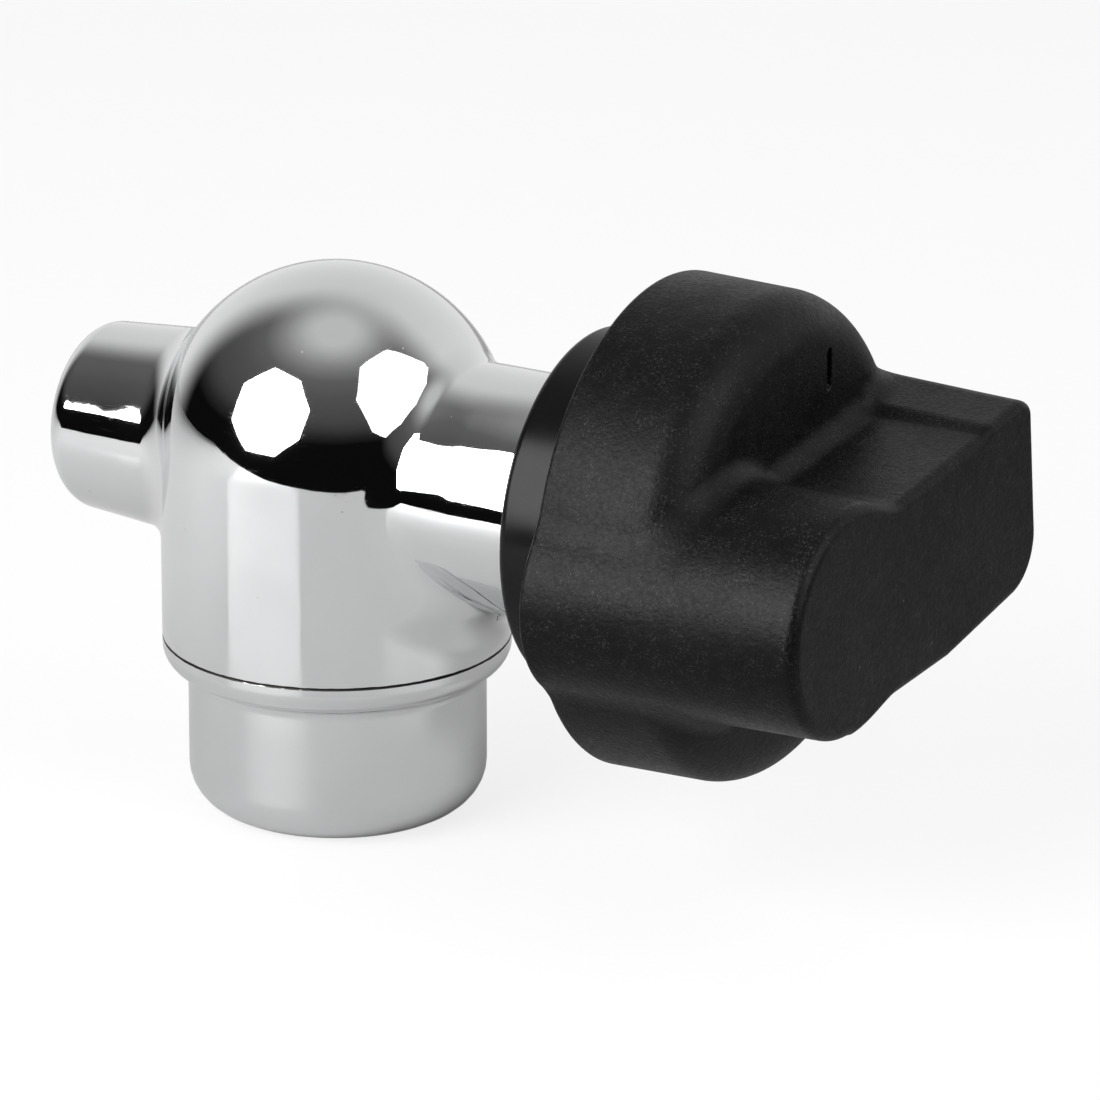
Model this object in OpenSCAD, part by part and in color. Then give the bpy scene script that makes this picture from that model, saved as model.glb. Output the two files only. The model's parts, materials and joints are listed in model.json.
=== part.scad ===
// Quarter-turn ball valve with a domed body, in millimetres. A hose port
// leaves the body at the back, a hull connector screws in below it and a grip
// knob turns the ball from the front.
// +Z is up and the origin is the centre of the connector's mouth. The knob
// turns about a line along +X at the height axis_h. Lengths called "reach"
// are measured from the body's vertical axis along that line.

/* [Body] */
// Outside diameter of the body and its dome
body_d = 40; // [39:0.5:44]
// Height of the knob's axis above the connector's mouth
axis_h = 41.5; // [41.5:0.5:46]
// Height of the dome's centre above the knob's axis
dome_rise = 2.6; // [0.5:0.1:4]
// Outside diameter of the boss that holds the bonnet
boss_d = 27.6; // [27:0.2:30]
// Reach of the boss's end face
boss_reach = 33; // [32.4:0.1:33]

/* [Hose port] */
// Reach of the hose port's end face
port_reach = 32.9; // [32.5:0.1:40]
// Outside diameter of the hose port at its end face, without its rounding
port_d = 21.4; // [20.6:0.1:23]
// Growth of the port's radius for each millimetre towards the body
port_taper = 0.081; // [0.01:0.001:0.12]
// Radius of the rounding on the port's outer edge
port_round = 2.4; // [0.5:0.1:2.6]
// Core diameter of the hose port's female pipe thread
hose_core_d = 15; // [12:0.1:15.4]
// Depth of the hose port's thread
hose_thread_depth = 12.5; // [8:0.5:13]

/* [Hull connector] */
// Outside diameter of the cup
cup_d = 34.2; // [33:0.2:36]
// Radius of the rounding on the cup's lower edge
cup_round = 5.2; // [2:0.1:5.4]
// Height of the seam between the connector and the body
seam_h = 20.6; // [20.6:0.1:21.4]
// Height of the flange's straight band below the seam
flange_band = 0.9; // [0.5:0.1:1.5]
// Radius of the rounding below the flange's band
flange_round = 2.7; // [2:0.1:2.8]
// Radius of the fillet between the flange and the cup
flange_fillet = 1.5; // [1:0.1:2]
// Core diameter of the connector's female pipe thread
hull_core_d = 18.6; // [15:0.1:19.2]
// Depth of the connector's thread
hull_thread_depth = 14; // [9:0.5:15]
// Diameter of the spigot that screws into the body
spigot_d = 30; // [29:0.2:30.4]

/* [Ball and seats] */
// Diameter of the ball
ball_d = 25; // [24:0.1:25.4]
// Diameter of the waterway through the ball
ball_bore_d = 11; // [8:0.5:11.5]
// Outside diameter of the seats
seat_d = 20; // [19:0.5:20]
// Distance from the ball's centre to the back of a seat
seat_back = 15.9; // [15.5:0.1:16]
// Distance from the ball's centre to the front rim of a seat
seat_front = 10.1; // [10.1:0.1:11]

/* [Stem and bonnet] */
// Diameter of the stem's journals
stem_d = 10; // [9.6:0.1:10.4]
// Diameter of the collar that the bonnet holds in
collar_d = 16; // [15:0.2:16.4]
// Side of the stem's square end
square_side = 6.8; // [6:0.1:6.9]
// Width across the flats of the bonnet's hexagon
hex_flats = 22; // [20:0.5:22.6]

/* [Stop] */
// Outside diameter of the stop ring
ring_d = 40.8; // [38:0.2:41.2]
// Reach of the stop ring's front face
ring_front = 43.9; // [43.5:0.1:44]
// Diameter of the circle that the stop pin moves on
pin_circle_d = 32.8; // [32.4:0.1:33]
// Diameter of the stop pin
pin_d = 3; // [2.5:0.1:3.2]
// Angle from fully closed to fully open
turn_angle = 90; // [60:1:120]

/* [Knob] */
// Angle that the knob stands at, from fully closed
knob_angle = 5.5; // [0:0.5:90]
// Diameter of the knob's round skirt at its back
knob_d = 55.9; // [54:0.1:58]
// Loss of the skirt's radius for each millimetre forwards
knob_draft = 0.02; // [0:0.001:0.03]
// Reach of the knob's back face
knob_back = 42; // [41:0.1:42]
// Reach of the skirt's front face
knob_shoulder = 59.3; // [58:0.1:60]
// Radius of the skirt's front edge
knob_round = 5.5; // [3:0.1:5.6]
// Reach of the grip bar's front face
grip_front = 75.2; // [70:0.2:80]
// Diameter of the grip bar's round end
lobe_d = 26.6; // [26:0.2:28]
// Distance from the knob's axis to the centre of the round end
lobe_offset = 15.5; // [15:0.1:17]
// Distance from the knob's axis to the tip of the round end, at its back
tip_reach = 31.5; // [29:0.1:32]
// Diameter of the tip at its back
tip_d = 22; // [20:0.2:24]
// Loss of the tip's radius for each millimetre forwards
tip_draft = 0.06; // [0:0.01:0.08]
// Distance from the bar's middle line to its recessed upper flank
upper_flank = 9.2; // [8:0.1:11]
// Distance from the bar's middle line to its lower flank
lower_flank = 13.5; // [11:0.1:13.6]
// Distance from the knob's axis to where the recess ends
block_start = 17; // [10:0.5:20]
// Height of the square end above the bar's middle line
end_high = 10; // [9.2:0.1:11]
// Depth of the square end below the bar's middle line
end_low = 11.2; // [10:0.1:11.2]
// Distance from the knob's axis to the square end
end_reach = 26.8; // [25:0.1:26.8]
// Radius of the square end's corners
end_round = 5.4; // [5.4:0.1:8]
// Thickness of the knob's moulded wall
knob_wall = 3.2; // [2.5:0.1:3.6]
// Number of stiffening ribs inside the skirt
rib_count = 6; // [4:2:8]

/* [Hidden] */

$fn = 96;
gap = 0.05;      // running and assembly clearance on a radius or at a face
cut = 1;         // how far a cutter runs past the face it opens
relief = 0.2;    // how far a bore runs on past the piece in it

chrome = [0.80, 0.81, 0.83];
brass = [0.78, 0.63, 0.33];
stainless = [0.66, 0.67, 0.69];
ptfe = [0.93, 0.93, 0.90];
nitrile = [0.08, 0.08, 0.09];
acetal = [0.05, 0.05, 0.06];
soft_black = [0.10, 0.10, 0.11];

body_r = body_d / 2;
dome_h = axis_h + dome_rise;
cup_r = cup_d / 2;
ball_r = ball_d / 2;
waterway_r = ball_bore_d / 2 + 0.1;
seat_r = seat_d / 2;
pocket_floor = seat_back + 0.1;
cavity_r = ball_r + 1;
stem_r = stem_d / 2;
spigot_top = axis_h - 12;
spigot_gap = 0.3;

// Reaches along the stem, from the ball outwards
slot_floor = 8.4;
slot_w = 4.2;
tang_start = 8.7;
tang_w = 4;
tang_r = 4.4;
journal_start = 13;
step_reach = 19;
washer_t = 0.9;
collar_start = step_reach + washer_t + 2 * gap;
collar_end = 23;
nose_reach = collar_end + washer_t + 2 * gap;
thread_end = 29.3;
bush_start = 31.2;
bush_end = 37.8;
wiper_end = 40.4;
head_start = 36;
head_end = 41;
square_start = 41.2;
square_end = 60;

collar_r = collar_d / 2;
collar_bore_r = 8.6;
nose_thread_r = 9.5;
nose_plain_r = 10;
bush_r = 6.5;
wiper_r = 7;

// O-rings: radius of the section and of the ring's centre line
o_section_r = 0.9;
small_section_r = 0.7;
seat_o_ring_r = 7.8;
body_o_ring_r = 16.1;
body_o_section_r = 1;
body_o_room = 2.2;
stem_o_ring_r = stem_r - small_section_r;
nose_o_ring_r = nose_plain_r - small_section_r;
groove_half_w = 1;
inner_o_ring_reach = 16;
outer_o_ring_reach = 27;
nose_o_ring_reach = 30.9;

ring_r = ring_d / 2;
ring_back = boss_reach + 0.1;
ring_web = 2.8;
ring_bore_r = nose_plain_r + 0.1;
ring_recess_r = hex_flats / sqrt(3) + 0.7;
pin_circle_r = pin_circle_d / 2;
pin_r = pin_d / 2;
groove_depth = 4;
groove_room = 0.3;
pin_reach = ring_front - groove_depth + 0.6;
dowel_r = 1;
dowel_circle_r = 11.95;
dowel_start = 29.6;
dowel_end = 35.2;

hub_back = head_end + washer_t + 2 * gap;
hub_flange_back = ring_front + 0.4;
hub_flange_t = 3;
hub_flange_r = 19;
hub_rear_r = 8;
hub_r = 8.5;
hub_front = 61;
hub_square = square_side + 0.1;
key_count = 3;
key_w = 3;
key_depth = 1.5;
grub_r = 2.5;
grub_reach = 50.6;
grub_start = square_side / 2 + gap;
grub_length = 5;
grub_hex_flats = 2.5;
grub_hex_depth = 2.4;

knob_r = knob_d / 2;
edge_flats = 3;
edge_start = knob_shoulder - knob_round;
core_r = 12;
core_front = hub_front + 3;
cavity_front = knob_shoulder - 4;
grip_back = edge_start + 0.3;
grip_core_front = grip_front - 4.5;
rib_w = 1.8;
core_back = hub_flange_back + hub_flange_t + gap;
rib_back = core_back + 0.5;
rib_bite = 1.2;  // how far a rib runs into the wall it meets
access_r = 2.6;

// The knob's axis, with the children's Z along +X
module on_axis() {
    translate([0, 0, axis_h]) rotate([0, 90, 0]) children();
}

// The same axis, turned as the knob stands: +X of the children is the
// hull side and -Y the ball's side port, at the fully closed position
module turned() {
    on_axis() rotate([0, 0, knob_angle]) children();
}

// The hose port's axis, with the children's Z along -X
module towards_hose() {
    translate([0, 0, axis_h]) rotate([0, -90, 0]) children();
}

// The line from the ball down to the hull, with the children's Z along -Z
module towards_hull() {
    translate([0, 0, axis_h]) rotate([180, 0, 0]) children();
}

module rod(r, from, to) {
    translate([0, 0, from]) cylinder(r = r, h = to - from);
}

module tube(r, bore_r, from, to) {
    difference() {
        rod(r, from, to);
        rod(bore_r, from - cut, to + cut);
    }
}

module o_ring(centre_r, section_r, at) {
    translate([0, 0, at])
        rotate_extrude()
            translate([centre_r, 0]) circle(r = section_r, $fn = 32);
}

module o_ring_groove(outer_r, centre_r, section_r, at) {
    tube(outer_r, centre_r - section_r - gap, at - groove_half_w, at + groove_half_w);
}

// ---- Body and connector ----

module body_profile() {
    translate([0, seam_h]) square([body_r, dome_h - seam_h]);
    translate([0, dome_h]) intersection() {
        circle(r = body_r);
        square(body_r);
    }
}

module cavity_profile() {
    translate([0, spigot_top]) square([cavity_r, axis_h - spigot_top]);
    translate([0, axis_h]) intersection() {
        circle(r = cavity_r);
        square(cavity_r);
    }
}

// The port's outline, with its rounded edge tangent to its end and its side
module port_profile() {
    side = atan(port_taper);
    end_r = port_d / 2;
    centre_z = port_reach - port_round;
    centre_r = end_r + port_taper * port_round - port_round / cos(side);
    polygon([
        [0, port_reach],
        [centre_r, port_reach],
        [centre_r, centre_z],
        [centre_r + port_round * cos(side), centre_z + port_round * sin(side)],
        [end_r + port_taper * port_reach, 0],
        [0, 0]
    ]);
    translate([centre_r, centre_z]) circle(r = port_round);
}

module valve_body() {
    color(chrome) difference() {
        union() {
            rotate_extrude() body_profile();
            towards_hose() rotate_extrude() port_profile();
            on_axis() rod(boss_d / 2, 0, boss_reach);
        }
        rotate_extrude() cavity_profile();
        rod(spigot_d / 2 + gap, seam_h - cut, spigot_top + spigot_gap);
        rod(body_o_ring_r + body_o_section_r + 2 * gap, seam_h - cut, seam_h + body_o_room);
        towards_hose() {
            rod(seat_r + gap, 0, pocket_floor);
            rod(waterway_r, 0, port_reach);
            rod(hose_core_d / 2, port_reach - hose_thread_depth, port_reach + cut);
        }
        on_axis() {
            rod(stem_r + gap, 0, boss_reach);
            rod(collar_bore_r, step_reach, boss_reach);
            rod(nose_thread_r + gap, nose_reach - relief, boss_reach);
            rod(nose_plain_r + gap, thread_end, boss_reach + cut);
            dowel_places() rod(dowel_r + gap, dowel_start - relief, boss_reach + cut);
        }
    }
}

module cup_profile() {
    difference() {
        square([cup_r, seam_h - flange_band]);
        translate([cup_r - cup_round, -cut]) square([cup_round + cut, cup_round + cut]);
    }
    translate([cup_r - cup_round, cup_round]) circle(r = cup_round);
}

// The flange below the seam, with a fillet tangent to its rounding and the cup
module flange_profile() {
    round_c = [body_r - flange_round, seam_h - flange_band];
    across = cup_r + flange_fillet - round_c[0];
    both = flange_round + flange_fillet;
    down = sqrt(both * both - across * across);
    fillet_c = [cup_r + flange_fillet, round_c[1] - down];
    touch = round_c + flange_round / both * [across, -down];
    translate([0, round_c[1]]) square([body_r, flange_band]);
    translate(round_c) intersection() {
        circle(r = flange_round);
        translate([-flange_round, -flange_round])
            square([2 * flange_round, flange_round + flange_band]);
    }
    difference() {
        polygon([
            [cup_r - cut, fillet_c[1]], fillet_c, touch,
            round_c, [cup_r - cut, round_c[1]]
        ]);
        translate(fillet_c) circle(r = flange_fillet);
    }
}

module hull_connector() {
    color(chrome) difference() {
        union() {
            rotate_extrude() {
                cup_profile();
                flange_profile();
            }
            rod(spigot_d / 2, seam_h - flange_band, spigot_top);
        }
        rod(hull_core_d / 2, -cut, hull_thread_depth);
        rod(waterway_r, 0, axis_h);
        rod(seat_r + gap, axis_h - pocket_floor, axis_h);
    }
}

module body_o_ring() {
    color(nitrile) o_ring(body_o_ring_r, body_o_section_r, seam_h + body_o_room / 2);
}

// ---- Ball and seats ----

module ball() {
    color(chrome) turned() difference() {
        sphere(r = ball_r);
        rotate([180, 0, 0]) translate([0, 0, -ball_bore_d / 2]) cylinder(d = ball_bore_d, h = ball_d);
        rotate([90, 0, 0]) cylinder(d = ball_bore_d - 0.1, h = ball_d);
        translate([-ball_d, -slot_w / 2, slot_floor]) cube([2 * ball_d, slot_w, ball_d]);
    }
}

module seat() {
    difference() {
        tube(seat_r, waterway_r, seat_front, seat_back);
        sphere(r = ball_r + gap);
        tube(
            seat_o_ring_r + groove_half_w, seat_o_ring_r - groove_half_w,
            seat_back - 2 * groove_half_w, seat_back + cut
        );
    }
}

module seat_o_ring() {
    o_ring(seat_o_ring_r, o_section_r, seat_back - o_section_r - gap);
}

module hose_seat() {
    color(ptfe) towards_hose() seat();
}

module hose_seat_o_ring() {
    color(nitrile) towards_hose() seat_o_ring();
}

module hull_seat() {
    color(ptfe) towards_hull() seat();
}

module hull_seat_o_ring() {
    color(nitrile) towards_hull() seat_o_ring();
}

// ---- Stem and bonnet ----

module stem() {
    color(stainless) turned() difference() {
        union() {
            intersection() {
                rod(tang_r, tang_start, journal_start + cut);
                translate([-stem_d, -tang_w / 2, tang_start]) cube([2 * stem_d, tang_w, stem_d]);
            }
            rod(stem_r, journal_start, square_start);
            rod(collar_r, collar_start, collar_end);
            translate([-square_side / 2, -square_side / 2, square_start - cut])
                cube([square_side, square_side, square_end - square_start + cut]);
        }
        o_ring_groove(stem_d, stem_o_ring_r, small_section_r, inner_o_ring_reach);
        o_ring_groove(stem_d, stem_o_ring_r, small_section_r, outer_o_ring_reach);
    }
}

module stem_inner_o_ring() {
    color(nitrile) turned() o_ring(stem_o_ring_r, small_section_r, inner_o_ring_reach);
}

module stem_outer_o_ring() {
    color(nitrile) turned() o_ring(stem_o_ring_r, small_section_r, outer_o_ring_reach);
}

module thrust_washer(outer_r, from) {
    tube(outer_r, stem_r + 2 * gap, from, from + washer_t);
}

module inner_thrust_washer() {
    color(ptfe) on_axis() thrust_washer(collar_r, step_reach + gap);
}

module outer_thrust_washer() {
    color(ptfe) on_axis() thrust_washer(collar_r, collar_end + gap);
}

module bonnet() {
    color(brass) on_axis() difference() {
        union() {
            rod(nose_thread_r, nose_reach, thread_end);
            rod(nose_plain_r, thread_end, head_start);
            translate([0, 0, head_start])
                cylinder(r = hex_flats / sqrt(3), h = head_end - head_start, $fn = 6);
        }
        rod(stem_r + gap, 0, head_end + cut);
        rod(bush_r + gap, bush_start, head_end + cut);
        rod(wiper_r + gap, bush_end + relief, head_end + cut);
        o_ring_groove(ring_r, nose_o_ring_r, small_section_r, nose_o_ring_reach);
    }
}

module bonnet_o_ring() {
    color(nitrile) on_axis() o_ring(nose_o_ring_r, small_section_r, nose_o_ring_reach);
}

module stem_bush() {
    color(ptfe) on_axis() tube(bush_r, stem_r + gap, bush_start + gap, bush_end);
}

module stem_wiper() {
    color(nitrile) on_axis() tube(wiper_r, stem_r + gap, bush_end + relief + gap, wiper_end);
}

// ---- Stop ----

module dowel_places() {
    for (side = [45, 225]) rotate([0, 0, side]) translate([dowel_circle_r, 0, 0]) children();
}

// The groove that the stop pin moves in, from closed to open, and the room
// for the pin's own width at each end
module stop_groove() {
    translate([0, 0, ring_front - groove_depth]) {
        rotate_extrude(angle = turn_angle, start = 90)
            translate([pin_circle_r - pin_r - groove_room, 0])
                square([pin_d + 2 * groove_room, groove_depth + cut]);
        for (stop = [90, 90 + turn_angle])
            rotate([0, 0, stop]) translate([pin_circle_r, 0, 0])
                cylinder(r = pin_r + groove_room, h = groove_depth + cut);
    }
}

module stop_ring() {
    edge = 1;
    color(acetal) on_axis() difference() {
        union() {
            rod(ring_r, ring_back + edge, ring_front);
            rod(ring_r - edge, ring_back, ring_back + 2 * edge);
            o_ring(ring_r - edge, edge, ring_back + edge);
        }
        rod(ring_bore_r, 0, ring_front);
        rod(ring_recess_r, ring_back + ring_web, ring_front + cut);
        stop_groove();
        dowel_places() rod(dowel_r + gap, 0, dowel_end + 0.1);
    }
}

module stop_ring_dowels() {
    color(stainless) on_axis() dowel_places() rod(dowel_r, dowel_start, dowel_end);
}

module stop_pin() {
    color(stainless) turned() translate([0, pin_circle_r, 0])
        rod(pin_r, pin_reach, hub_flange_back + hub_flange_t);
}

// ---- Knob ----

module knob_washer() {
    color(ptfe) on_axis() thrust_washer(hub_rear_r, head_end + gap);
}

module key_places() {
    for (i = [0 : key_count - 1])
        rotate([0, 0, 360 / key_count * i + 30]) translate([hub_flange_r, 0, 0]) children();
}

module knob_hub() {
    color(brass) turned() difference() {
        union() {
            rod(hub_rear_r, hub_back, hub_flange_back + cut);
            rod(hub_flange_r, hub_flange_back, hub_flange_back + hub_flange_t);
            rod(hub_r, hub_flange_back + cut, hub_front);
        }
        translate([-hub_square / 2, -hub_square / 2, 0]) cube([hub_square, hub_square, hub_front + cut]);
        translate([0, pin_circle_r, 0]) rod(pin_r, 0, hub_front);
        translate([0, 0, grub_reach]) rotate([0, 90, 0]) cylinder(r = grub_r, h = hub_flange_r);
        key_places() translate([-key_depth, -key_w / 2, 0]) cube([hub_r, key_w, hub_front]);
    }
}

// The skirt's outline, whose front edge turns from side to face in flats
module skirt_profile() {
    centre_r = knob_r - knob_draft * (edge_start - knob_back) - knob_round;
    polygon([
        [0, knob_back],
        [knob_r, knob_back],
        for (a = [0 : 90 / edge_flats : 90])
            [centre_r + knob_round * cos(a), edge_start + knob_round * sin(a)],
        [0, knob_shoulder]
    ]);
}

// The bar from its round end at -Y to its square end at +Y, with its
// recessed upper flank at -X
module grip_outline() {
    corner_y = end_reach - end_round;
    high_x = end_round - end_high;
    low_x = end_low - end_round;
    polygon([
        [-upper_flank, -lobe_offset], [lower_flank, -lobe_offset],
        [end_low, corner_y], [-upper_flank, corner_y]
    ]);
    translate([-end_high, block_start]) square([end_high, corner_y - block_start]);
    translate([high_x, block_start]) square([low_x - high_x, end_reach - block_start]);
    for (corner_x = [high_x, low_x])
        translate([corner_x, corner_y]) circle(r = end_round);
}

module grip_bar() {
    length = grip_front - knob_back;
    tip_r = tip_d / 2;
    translate([0, -lobe_offset, 0]) rod(lobe_d / 2, knob_back, grip_front);
    translate([0, tip_r - tip_reach, knob_back])
        cylinder(r1 = tip_r, r2 = tip_r - tip_draft * length, h = length);
    translate([0, 0, grip_back]) linear_extrude(grip_front - grip_back) grip_outline();
}

// The hollows that keep the moulding's walls even, open at the back
module knob_cores() {
    inner_w = upper_flank + end_low - 2 * knob_wall;
    rod(knob_r - knob_wall, knob_back - cut, cavity_front);
    translate([0, -lobe_offset, 0]) rod(lobe_d / 2 - knob_wall, knob_back - cut, grip_core_front);
    translate([knob_wall - upper_flank, 0, cavity_front - cut])
        cube([inner_w, end_reach - knob_wall, grip_core_front - cavity_front + cut]);
}

module knob_ribs() {
    rib_from = core_r - rib_bite;
    rib_length = knob_r - knob_wall + rib_bite - rib_from;
    rod(core_r, core_back, core_front);
    for (i = [0 : rib_count - 1])
        rotate([0, 0, 360 / rib_count * (i + 0.5)])
            translate([rib_from, -rib_w / 2, rib_back])
                cube([rib_length, rib_w, cavity_front - rib_back + cut]);
}

module knob_shell() {
    color(soft_black) turned() difference() {
        union() {
            difference() {
                union() {
                    rotate_extrude() skirt_profile();
                    grip_bar();
                }
                knob_cores();
            }
            knob_ribs();
            key_places() translate([-key_depth + gap, -key_w / 2 + gap, hub_flange_back])
                cube([knob_r - hub_flange_r, key_w - 2 * gap, hub_flange_t + cut]);
        }
        rod(hub_r + gap, 0, hub_front + relief);
        translate([0, 0, grub_reach]) rotate([0, 90, 0]) cylinder(r = access_r, h = knob_d);
    }
}

module grub_screw() {
    color(stainless) turned() translate([0, 0, grub_reach]) rotate([0, 90, 0]) difference() {
        rod(grub_r - gap, grub_start, grub_start + grub_length);
        translate([0, 0, grub_start + grub_length - grub_hex_depth])
            cylinder(r = grub_hex_flats / sqrt(3), h = grub_hex_depth + cut, $fn = 6);
    }
}

valve_body();
hull_connector();
body_o_ring();
ball();
hose_seat();
hose_seat_o_ring();
hull_seat();
hull_seat_o_ring();
stem();
stem_inner_o_ring();
stem_outer_o_ring();
inner_thrust_washer();
outer_thrust_washer();
bonnet();
bonnet_o_ring();
stem_bush();
stem_wiper();
stop_ring();
stop_ring_dowels();
stop_pin();
knob_washer();
knob_hub();
knob_shell();
grub_screw();
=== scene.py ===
"""A quarter-turn seacock ball valve, dressed for a studio picture.

The body, the connector and the knob are remade here with their blends and
threads. Every other solid stays as it is and gets a material. Shapes are
worked out in millimetres and become metres when a mesh is made.
"""

import json
import math

import bpy
import numpy as np
from mathutils import Matrix, Vector


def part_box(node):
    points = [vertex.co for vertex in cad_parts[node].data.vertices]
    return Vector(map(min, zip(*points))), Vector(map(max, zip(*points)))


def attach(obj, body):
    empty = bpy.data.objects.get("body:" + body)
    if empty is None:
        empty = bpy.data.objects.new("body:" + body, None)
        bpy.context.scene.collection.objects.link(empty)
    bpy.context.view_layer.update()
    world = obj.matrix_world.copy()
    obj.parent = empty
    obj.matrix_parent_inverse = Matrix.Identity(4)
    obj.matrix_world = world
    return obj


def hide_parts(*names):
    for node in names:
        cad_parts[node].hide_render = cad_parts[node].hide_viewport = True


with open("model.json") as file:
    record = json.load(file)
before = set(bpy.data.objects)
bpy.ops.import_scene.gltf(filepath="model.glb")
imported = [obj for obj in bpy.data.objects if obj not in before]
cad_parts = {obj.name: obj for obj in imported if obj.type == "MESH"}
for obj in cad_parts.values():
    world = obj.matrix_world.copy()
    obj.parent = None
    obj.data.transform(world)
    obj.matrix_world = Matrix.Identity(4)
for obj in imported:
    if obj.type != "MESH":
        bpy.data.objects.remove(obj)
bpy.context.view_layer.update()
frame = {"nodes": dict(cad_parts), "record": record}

MM = 0.001
RECORD = frame["record"]
JOINT = RECORD["behaviour"]["joints"][0]


def mm_box(node):
    low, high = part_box(node)
    return np.array(low) / MM, np.array(high) / MM


# ---- Driving sizes, from the frame ----

AXIS_H = JOINT["pos_m"][2] / MM
KNOB_ANGLE = -math.radians(JOINT["range_deg"][0])

BODY_LOW, BODY_HIGH = mm_box("valve_body")
BODY_R = BODY_HIGH[1]
SEAM_H = BODY_LOW[2]
DOME_H = BODY_HIGH[2] - BODY_R
PORT_REACH = -BODY_LOW[0]
BOSS_REACH = BODY_HIGH[0]
SPIGOT_TOP = mm_box("hull_connector")[1][2]

KNOB_LOW, KNOB_HIGH = mm_box("knob_shell")
KNOB_BACK = KNOB_LOW[0]
GRIP_FRONT = KNOB_HIGH[0]
KNOB_R = KNOB_HIGH[2] - AXIS_H

HULL_THREAD_R = RECORD["mounts"][0]["dims"]["r_mm"]
HULL_THREAD_DEPTH = RECORD["mounts"][0]["dims"]["length_mm"]
HOSE_THREAD_R = RECORD["mounts"][1]["dims"]["r_mm"]
HOSE_THREAD_DEPTH = RECORD["mounts"][1]["dims"]["length_mm"]


# ---- Distance fields ----
# A field is negative inside a shape and grows by about 1 per millimetre.

def joined(a, b, radius):
    """Both shapes, with a fillet where they meet."""
    near = np.hypot(np.maximum(radius - a, 0), np.maximum(radius - b, 0))
    return np.maximum(radius, np.minimum(a, b)) - near


def shared(a, b, radius):
    """What two shapes share, with a rounded edge."""
    near = np.hypot(np.maximum(radius + a, 0), np.maximum(radius + b, 0))
    return np.minimum(-radius, np.maximum(a, b)) + near


def without(a, b, radius):
    """The first shape with the second cut out, and a rounded rim."""
    return shared(a, -b, radius)


def either(*shapes):
    return np.minimum.reduce(shapes)


def both(*shapes):
    return np.maximum.reduce(shapes)


def thread_groove(along, angle, length, pitch, depth):
    """How far a female thread is cut beyond its core radius. It winds
    left-handed. A real pipe thread is right-handed, which takes -angle."""
    fade = np.clip(along / pitch, 0, 1) * np.clip((length - along) / pitch, 0, 1)
    wave = 0.5 - 0.5 * np.cos(2 * math.pi * along / pitch + angle)
    return depth * fade * wave


# ---- Meshes from fields ----

GRID_MARGIN = 3
SLOPE_REACH = 0.01
SETTLE_ROUNDS, SETTLE_STEPS = 3, 3
LONGEST_MOVE = 0.3
SMALLEST_SLOPE = 0.05


def samples(low, high, step, fine):
    """Grid lines from low to high, closer together inside the fine spans."""
    lines, at = [], low - GRID_MARGIN * step
    while at < high + (GRID_MARGIN + 1) * step:
        lines.append(at)
        inside = [s for start, stop, s in fine if start <= at < stop]
        at += inside[0] if inside else step
    return np.array(lines)


def gradient(field, points):
    slope = np.empty_like(points)
    for k in range(3):
        shift = np.zeros(3)
        shift[k] = SLOPE_REACH
        slope[:, k] = field(*(points + shift).T) - field(*(points - shift).T)
    return slope / (2 * SLOPE_REACH)


def surface_net(field, lines):
    """Corner points and quads of a field's zero surface, one point per cell."""
    grid = np.meshgrid(*lines, indexing="ij")
    value = field(*grid)
    del grid
    cells = np.array([len(line) - 1 for line in lines])
    total = np.zeros((cells.prod(), 3))
    count = np.zeros(cells.prod(), np.int32)
    rings = []
    for axis in range(3):
        side, up = (axis + 1) % 3, (axis + 2) % 3
        near = np.moveaxis(value, axis, 0)[:-1]
        far = np.moveaxis(value, axis, 0)[1:]
        crossing = np.moveaxis((near < 0) != (far < 0), 0, axis)
        index = np.stack(np.nonzero(crossing), -1)
        keep = (index[:, side] > 0) & (index[:, up] > 0)
        keep &= (index[:, side] < cells[side]) & (index[:, up] < cells[up])
        index = index[keep]
        beyond = index.copy()
        beyond[:, axis] += 1
        start, stop = value[tuple(index.T)], value[tuple(beyond.T)]
        point = np.stack([lines[k][index[:, k]] for k in range(3)], -1)
        part = start / (start - stop)
        point[:, axis] += part * (lines[axis][beyond[:, axis]] - point[:, axis])
        ring = []
        for step_side, step_up in ((-1, -1), (0, -1), (0, 0), (-1, 0)):
            cell = index.copy()
            cell[:, side] += step_side
            cell[:, up] += step_up
            flat = np.ravel_multi_index(tuple(cell.T), cells)
            for k in range(3):
                total[:, k] += np.bincount(flat, point[:, k], len(total))
            count += np.bincount(flat, minlength=len(count)).astype(np.int32)
            ring.append(flat)
        ring = np.stack(ring, -1)
        rings.append(np.where((start < 0)[:, None], ring, ring[:, ::-1]))
    used = np.nonzero(count)[0]
    number = np.full(len(count), -1, np.int64)
    number[used] = np.arange(len(used))
    return total[used] / count[used, None], number[np.concatenate(rings)]


def settle(field, points, quads):
    """Evens out a surface net and brings its points onto the true surface."""
    edges = np.concatenate([quads[:, [k, (k + 1) % 4]] for k in range(4)])
    degree = np.bincount(edges[:, 0], minlength=len(points))
    for turn in range(SETTLE_ROUNDS):
        if turn > 0:
            mean = np.empty_like(points)
            for k in range(3):
                mean[:, k] = np.bincount(edges[:, 0], points[edges[:, 1], k], len(points))
            points = 0.5 * points + 0.5 * mean / degree[:, None]
        for _ in range(SETTLE_STEPS):
            slope = gradient(field, points)
            size = np.maximum((slope ** 2).sum(1), SMALLEST_SLOPE)
            move = -(field(*points.T) / size)[:, None] * slope
            length = np.linalg.norm(move, axis=1, keepdims=True)
            points = points + move * np.minimum(1, LONGEST_MOVE / np.maximum(length, 1e-9))
    return points


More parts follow.
